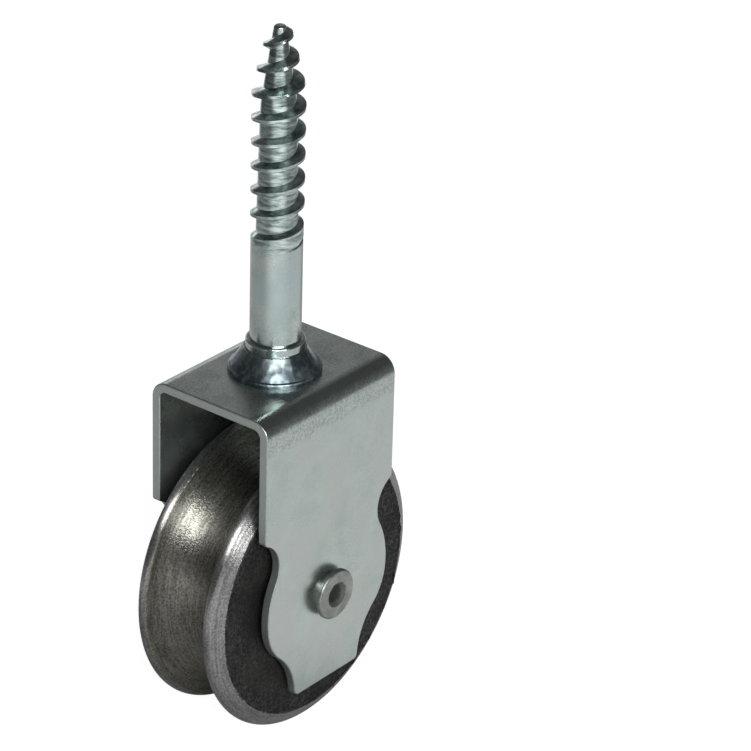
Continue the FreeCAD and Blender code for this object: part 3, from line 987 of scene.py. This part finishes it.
@dataclass
class CastSkin:
    """Rough skin that the casting left on one side of the wheel, between the hub and the bevel."""

    side: Side
    axle_height: float
    wheel_face: float
    inner_radius: float = 8.6 * MM
    outer_radius: float = 26.75 * MM
    proud: float = 0.06 * MM
    depth: float = 0.35 * MM
    grain_size: float = 0.9 * MM
    grain_height: float = 0.17 * MM
    grain_octaves: int = 3
    ragged: float = 1.0 * MM
    ragged_seed: int = 56
    edge_width: float = 0.1 * MM
    edge_evening: float = 0.5
    edge_rounds: int = 4
    seam: float = 0.01 * MM
    rings: int = 56
    steps: int = 480

    @property
    def name(self) -> str:
        """Return the piece's name."""
        return f"cast_skin_{self.side.label}"

    @staticmethod
    def pick(skin: bpy.types.Object, wanted: Callable[[Vector], bool]) -> None:
        """Select points by their place and stay in edit mode.

        Args:
            skin: The object whose points are picked.
            wanted: Tells from a point's place whether it is picked.
        """
        bpy.ops.object.mode_set(mode="EDIT")
        bpy.ops.mesh.select_mode(type="VERT")
        bpy.ops.mesh.select_all(action="DESELECT")
        bpy.ops.object.mode_set(mode="OBJECT")
        for vertex in skin.data.vertices:
            vertex.select = wanted(vertex.co)
        bpy.ops.object.mode_set(mode="EDIT")

    def draw_radius(self) -> bpy.types.Object:
        """Draw one row of points from the hub to the bevel.

        Returns:
            The new object, in edit mode.
        """
        bpy.ops.object.select_all(action="DESELECT")
        reach = self.outer_radius - self.inner_radius
        middle = (self.outer_radius + self.inner_radius) / 2
        place = (middle, self.wheel_face + self.side.value * self.proud, self.axle_height)
        bpy.ops.mesh.primitive_grid_add(
            x_subdivisions=self.rings, y_subdivisions=1, size=reach, location=place
        )
        skin = bpy.context.object
        skin.name = self.name
        bpy.ops.object.transform_apply(location=True, rotation=True, scale=True)
        edge = min(vertex.co.y for vertex in skin.data.vertices)
        self.pick(skin, lambda place: place.y > edge + reach / 2)
        bpy.ops.mesh.delete(type="VERT")
        bpy.ops.mesh.select_all(action="SELECT")
        bpy.ops.transform.translate(value=(0.0, reach / 2, 0.0))
        return skin

    def spin_ring(self) -> None:
        """Spin the row of points round the axle into a ring and join its ends."""
        centre = (0.0, 0.0, self.axle_height)
        turn = 2 * math.pi
        bpy.ops.mesh.spin(steps=self.steps, angle=turn, center=centre, axis=(0.0, 1.0, 0.0))
        bpy.ops.mesh.select_all(action="SELECT")
        bpy.ops.mesh.remove_doubles(threshold=self.seam)
        bpy.ops.mesh.normals_make_consistent(inside=False)

    def roughen_edge(self, skin: bpy.types.Object) -> None:
        """Pull the points of the outer edge to and fro.

        Args:
            skin: The ring, in edit mode.
        """
        limit = self.outer_radius - self.edge_width
        self.pick(skin, lambda place: math.hypot(place.x, place.z - self.axle_height) > limit)
        bpy.ops.transform.vertex_random(
            offset=self.ragged, uniform=1.0, normal=0.0, seed=self.ragged_seed
        )
        bpy.ops.mesh.vertices_smooth(
            factor=self.edge_evening, repeat=self.edge_rounds, xaxis=True, yaxis=True, zaxis=True
        )
        bpy.ops.object.mode_set(mode="OBJECT")

    def face_out(self, skin: bpy.types.Object) -> None:
        """Turn the ring's faces away from the wheel.

        Args:
            skin: The ring, in object mode.
        """
        if skin.data.polygons[0].normal.y * self.side.value > 0:
            return
        bpy.ops.object.mode_set(mode="EDIT")
        bpy.ops.mesh.select_all(action="SELECT")
        bpy.ops.mesh.flip_normals()
        bpy.ops.object.mode_set(mode="OBJECT")

    def raise_grains(self, skin: bpy.types.Object) -> None:
        """Displace the ring into grains and give it thickness down into the wheel.

        Args:
            skin: The ring, in object mode.
        """
        grains = bpy.data.textures.new(f"{self.name}_grains", "CLOUDS")
        grains.noise_scale = self.grain_size
        grains.noise_depth = self.grain_octaves
        lift = skin.modifiers.new("grains", "DISPLACE")
        lift.texture = grains
        lift.texture_coords = "LOCAL"
        lift.strength = self.grain_height
        wall = skin.modifiers.new("wall", "SOLIDIFY")
        wall.thickness = self.depth
        wall.offset = -1.0
        for name in ("grains", "wall"):
            bpy.ops.object.modifier_apply(modifier=name)
        bpy.ops.object.shade_smooth()

    def build(self, material: bpy.types.Material) -> None:
        """Model the skin and dress it.

        Args:
            material: Its material.
        """
        skin = self.draw_radius()
        self.spin_ring()
        self.roughen_edge(skin)
        self.face_out(skin)
        self.raise_grains(skin)
        skin.data.materials.append(material)
        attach(skin, Body.WHEEL.value)


@dataclass
class SubAssembly:
    """Base of the sub-assemblies: the pieces of one body."""

    body: ClassVar[Body]
    axle_height: float

    def finishes(self) -> Dict[str, Finish]:
        """Return the finish of each of the body's CAD nodes."""
        return {}

    def build(self, dresser: Dresser) -> Dict[str, str]:
        """Dress the body's CAD nodes.

        Args:
            dresser: What makes the materials and puts them on.

        Returns:
            The names of the pieces and of their finishes.
        """
        worn = self.finishes()
        for node, finish in worn.items():
            dresser.dress(node, finish)
        return {node: finish.name for node, finish in worn.items()}


@dataclass
class Bracket(SubAssembly):
    """What hangs fast on the gate: fork, lag stem, axle rivet and the sleeve on the rivet."""

    body = Body.BRACKET
    bridge_depth: float = 5.0 * MM

    def finishes(self) -> Dict[str, Finish]:
        """Choose zinc for fork and stem, and bare steel for rivet and sleeve.

        Returns:
            The finish of each node.
        """
        _, fork_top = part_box("fork")
        rivet_low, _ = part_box("axle_rivet")
        return {
            "fork": ZincSheet(bridge_height=fork_top[2] - self.bridge_depth),
            "lag_stem": ZincStem(),
            "axle_rivet": RivetSteel(axle_height=self.axle_height, tail_end=rivet_low[1]),
            "axle_sleeve": GroundSteel(axle_height=self.axle_height),
        }


@dataclass
class GroovedWheel(SubAssembly):
    """What turns: the grooved wheel, its hub caps and the casting skins on its sides."""

    body = Body.WHEEL

    def finishes(self) -> Dict[str, Finish]:
        """Choose turned steel for the wheel and pressed steel for its caps.

        Returns:
            The finish of each node.
        """
        low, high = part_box("wheel")
        worn: Dict[str, Finish] = {
            "wheel": TurnedWheelSteel(
                axle_height=self.axle_height,
                middle=(low[1] + high[1]) / 2,
                half_width=(high[1] - low[1]) / 2,
            )
        }
        for side in Side:
            worn[f"hub_cap_{side.label}"] = HammeredSteel(name="cap_steel")
        return worn

    def build(self, dresser: Dresser) -> Dict[str, str]:
        """Dress the wheel and its caps and add a casting skin to each side.

        Args:
            dresser: What makes the materials and puts them on.

        Returns:
            The names of the pieces and of their finishes.
        """
        pieces = super().build(dresser)
        low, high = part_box("wheel")
        iron = CastSkinIron()
        for side, face in ((Side.HEAD, high[1]), (Side.TAIL, low[1])):
            skin = CastSkin(side, self.axle_height, face)
            skin.build(dresser.material(iron))
            pieces[skin.name] = iron.name
        return pieces


@dataclass
class RollerTrain(SubAssembly):
    """What rolls between sleeve and hub: the rollers and their cage."""

    body = Body.ROLLER_CAGE
    rollers: int = 10
    cage_pale: Colour = (0.5, 0.5, 0.48)

    def finishes(self) -> Dict[str, Finish]:
        """Choose ground steel for the rollers and paler pressed steel for the cage.

        Returns:
            The finish of each node.
        """
        worn: Dict[str, Finish] = {}
        for number in range(1, self.rollers + 1):
            worn[f"roller_{number}"] = GroundSteel(axle_height=self.axle_height)
        worn["roller_cage"] = HammeredSteel(name="cage_steel", pale=self.cage_pale)
        return worn


@dataclass
class PhotoCamera:
    """Camera at the photograph's place."""

    target: Vector
    azimuth: float = -51.856
    elevation: float = 27.142
    roll: float = 1.7
    distance: float = 704.104 * MM
    target_right: float = -20.467 * MM
    target_up: float = -37.650 * MM
    focal_pixels: float = 3564.159
    image_pixels: float = 751.0
    sensor: float = 36.0

    def axes(self) -> Tuple[Vector, Vector, Vector]:
        """Find the camera's axes.

        Returns:
            Its right, up and back directions.
        """
        back = direction(self.azimuth, self.elevation)
        level = direction(self.azimuth + 90.0, 0.0)
        right = Matrix.Rotation(math.radians(self.roll), 3, back) @ level
        return right, back.cross(right), back

    def build(self) -> None:
        """Place the camera and make it the scene's own."""
        right, up, back = self.axes()
        camera = bpy.data.objects.new("camera", bpy.data.cameras.new("camera"))
        camera.data.sensor_width = self.sensor
        camera.data.lens = self.focal_pixels / self.image_pixels * self.sensor
        centre = self.target - self.target_right * right - self.target_up * up
        place = centre + self.distance * back
        turn = Matrix((right, up, back)).transposed().to_4x4()
        camera.matrix_world = Matrix.Translation(place) @ turn
        bpy.context.scene.collection.objects.link(camera)
        bpy.context.scene.camera = camera


@dataclass(frozen=True)
class FloorShade:
    """Round patch of floor that the part shades, as metal shows it."""

    x: float
    y: float
    reach: Ramp


@dataclass
class PaleFloor:
    """Floor that is white to the camera and uneven in the metal, with the part's soft shadow."""

    height: float
    size: float = 8.0
    white: float = 0.93
    pale: float = 0.75
    dim: float = 0.42
    rear: Ramp = Ramp(0.03, 0.09, 0.12, 0.42)
    beside: Ramp = Ramp(-0.13, -0.02)
    front_line: float = 0.008
    front_slope: float = 0.35
    front_blur: float = 0.02
    front: Ramp = Ramp(1.0, -1.0)
    shades: Sequence[FloorShade] = (
        FloorShade(0.0, -0.005, Ramp(0.01, 0.04, 0.5, 1.0)),
        FloorShade(-0.05, 0.02, Ramp(0.03, 0.09, 0.5, 1.0)),
    )
    pool_azimuth: float = -48.0
    pool_reach: Ramp = Ramp(0.2, 0.34)
    pool_gain: Ramp = Ramp(0.6, 1.0, -0.85, 0.6)
    back_gain: Ramp = Ramp(-0.95, -0.65, 2.05, 0.0)
    bounce: float = 0.8
    shadow: float = 0.3

    def near_glow(self, graph: Graph, x: Socket, y: Socket) -> Socket:
        """Make the floor near the part paler in front, dimmer behind and under the part.

        Args:
            graph: The floor's nodes.
            x: Place on the floor along the fork.
            y: Place on the floor along the axle.

        Returns:
            The brightness's socket.
        """
        rear = graph.math("SUBTRACT", graph.spread(y, self.rear), self.dim)
        behind = graph.math("MULTIPLY_ADD", graph.spread(x, self.beside), rear, self.dim)
        slope = graph.math("ABSOLUTE", x)
        blur = graph.math("MULTIPLY_ADD", slope, self.front_slope, self.front_blur)
        front = graph.math("DIVIDE", graph.math("ADD", y, self.front_line), blur)
        gain = graph.math("SUBTRACT", self.pale, behind)
        glow = graph.math("MULTIPLY_ADD", graph.spread(front, self.front), gain, behind)
        for shade in self.shades:
            off_x = graph.math("SUBTRACT", x, shade.x)
            off_y = graph.math("SUBTRACT", y, shade.y)
            shaded = graph.spread(graph.length(off_x, off_y), shade.reach)
            glow = graph.math("MULTIPLY", glow, shaded)
        return glow

    def far_gain(self, graph: Graph, x: Socket, y: Socket) -> Socket:
        """Gather the far floor's light, which the stem mirrors, before and behind the part.

        Args:
            graph: The floor's nodes.
            x: Place on the floor along the fork.
            y: Place on the floor along the axle.

        Returns:
            The socket of the factor that the brightness takes.
        """
        toward = direction(self.pool_azimuth, 0.0)
        away = graph.length(x, y)
        ahead = graph.math("MULTIPLY_ADD", x, toward.x, graph.math("MULTIPLY", y, toward.y))
        cosine = graph.math("DIVIDE", ahead, away)
        gain = graph.spread(cosine, self.pool_gain)
        gain = graph.math("ADD", gain, graph.spread(cosine, self.back_gain))
        return graph.math("MULTIPLY_ADD", gain, graph.spread(away, self.pool_reach), 1.0)

    def lay_out(self, graph: Graph, surface: Socket) -> None:
        """Lay out the floor's shader.

        Args:
            graph: The floor's nodes.
            surface: The output's socket that the shader feeds.
        """
        path = graph.node("ShaderNodeLightPath").outputs
        x, y, _ = graph.split(graph.coordinate(Coordinate.PLACE))
        glow = graph.math("MULTIPLY", self.near_glow(graph, x, y), self.far_gain(graph, x, y))
        in_metal = graph.math("MULTIPLY", glow, path["Is Glossy Ray"])
        in_view = graph.math("MULTIPLY", path["Is Camera Ray"], self.white)
        light = graph.node("ShaderNodeEmission")
        graph.feed(light.inputs["Strength"], graph.math("ADD", in_metal, in_view))
        shadow = graph.node("ShaderNodeBsdfDiffuse")
        graph.feed(shadow.inputs["Color"], grey(self.shadow))
        seen = graph.node("ShaderNodeAddShader")
        graph.feed(seen.inputs[0], shadow.outputs[0])
        graph.feed(seen.inputs[1], light.outputs[0])
        bounce = graph.node("ShaderNodeBsdfDiffuse")
        graph.feed(bounce.inputs["Color"], grey(self.bounce))
        either = graph.node("ShaderNodeMixShader")
        is_seen = graph.math("MAXIMUM", path["Is Camera Ray"], path["Is Glossy Ray"])
        graph.feed(either.inputs[0], is_seen)
        graph.feed(either.inputs[1], bounce.outputs[0])
        graph.feed(either.inputs[2], seen.outputs[0])
        graph.feed(surface, either.outputs[0])

    def build(self) -> None:
        """Add the floor under the part."""
        bpy.ops.object.select_all(action="DESELECT")
        bpy.ops.mesh.primitive_plane_add(size=self.size, location=(0, 0, self.height))
        floor = bpy.context.object
        floor.name = "floor"
        material = bpy.data.materials.new("pale_floor")
        material.use_nodes = True
        nodes = material.node_tree.nodes
        nodes.remove(nodes["Principled BSDF"])
        self.lay_out(Graph(material.node_tree), nodes["Material Output"].inputs["Surface"])
        floor.data.materials.append(material)


@dataclass(frozen=True)
class Softbox:
    """Wide soft lamp that faces the part."""

    name: str
    azimuth: float
    elevation: float
    tilt: float
    watts: float
    distance: float = 0.9
    width: float = 0.75
    height: float = 0.24

    def build(self, target: Vector) -> None:
        """Add the lamp.

        Args:
            target: The point that it faces.
        """
        data = bpy.data.lights.new(self.name, "AREA")
        data.shape = "RECTANGLE"
        data.size = self.width
        data.size_y = self.height
        data.energy = self.watts
        lamp = bpy.data.objects.new(self.name, data)
        way = direction(self.azimuth, self.elevation)
        lamp.location = target + self.distance * way
        turn = way.to_track_quat("Z", "Y") @ Quaternion((0, 0, 1), math.radians(self.tilt))
        lamp.rotation_euler = turn.to_euler()
        bpy.context.scene.collection.objects.link(lamp)


@dataclass(frozen=True)
class RoomPatch:
    """Part of the room with its own brightness."""

    azimuth: float
    elevation: float
    reach: Ramp
    bright: float


@dataclass
class DimRoom:
    """Dim room that is paler behind the part and white to the camera."""

    dim: float = 0.12
    white: float = 0.93
    back_wall: RoomPatch = RoomPatch(128.0, 24.0, Ramp(0.84, 0.98), 0.22)
    ceiling: RoomPatch = RoomPatch(0.0, 90.0, Ramp(0.86, 0.97), 0.07)

    def build(self) -> None:
        """Fill the world with the room."""
        world = bpy.data.worlds.new("studio")
        bpy.context.scene.world = world
        world.use_nodes = True
        graph = Graph(world.node_tree)
        facing = graph.coordinate(Coordinate.ROOM)
        shade: Feed = grey(self.dim)
        for patch in (self.back_wall, self.ceiling):
            toward = direction(patch.azimuth, patch.elevation)
            near = graph.vector("DOT_PRODUCT", facing, toward)["Value"]
            shade = graph.mix(graph.spread(near, patch.reach), shade, grey(patch.bright))
        in_view = graph.node("ShaderNodeLightPath").outputs["Is Camera Ray"]
        shade = graph.mix(in_view, shade, grey(self.white))
        background = world.node_tree.nodes["Background"]
        graph.feed(background.inputs["Color"], shade)
        graph.feed(background.inputs["Strength"], 1.0)


@dataclass
class Studio:
    """Pale floor, two soft lamps, a dim room and the camera."""

    target: Vector
    floor_height: float
    key: Softbox = Softbox("key", -32.0, 28.0, -30.0, 8.4)
    rear: Softbox = Softbox("rear", 150.0, 15.0, 0.0, 0.7)

    def build(self) -> None:
        """Set up floor, lamps, room, camera and view transform."""
        PaleFloor(self.floor_height).build()
        for lamp in (self.key, self.rear):
            lamp.build(self.target)
        DimRoom().build()
        PhotoCamera(self.target).build()
        bpy.context.scene.view_settings.view_transform = "Standard"


def main() -> None:
    """Build the sub-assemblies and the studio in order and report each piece."""
    logging.basicConfig(level=logging.INFO, format="%(name)s: %(message)s")
    effects = Effects(grain=FineGrain().tree, turning=AxleTurning().tree, cut=SheetCut().tree)
    dresser = Dresser(effects)
    axle_height = frame["joints"][0]["pos_m"][2]
    for assembly in (Bracket(axle_height), GroovedWheel(axle_height), RollerTrain(axle_height)):
        for piece, finish in assembly.build(dresser).items():
            LOG.info("%s: %s in %s", assembly.body.value, piece, finish)
    low, _ = CAD_BOX
    Studio(target=Vector((0, 0, axle_height)), floor_height=low[2]).build()
    LOG.info("studio: floor, lamps, room and camera")


if __name__ == "__main__":
    main()
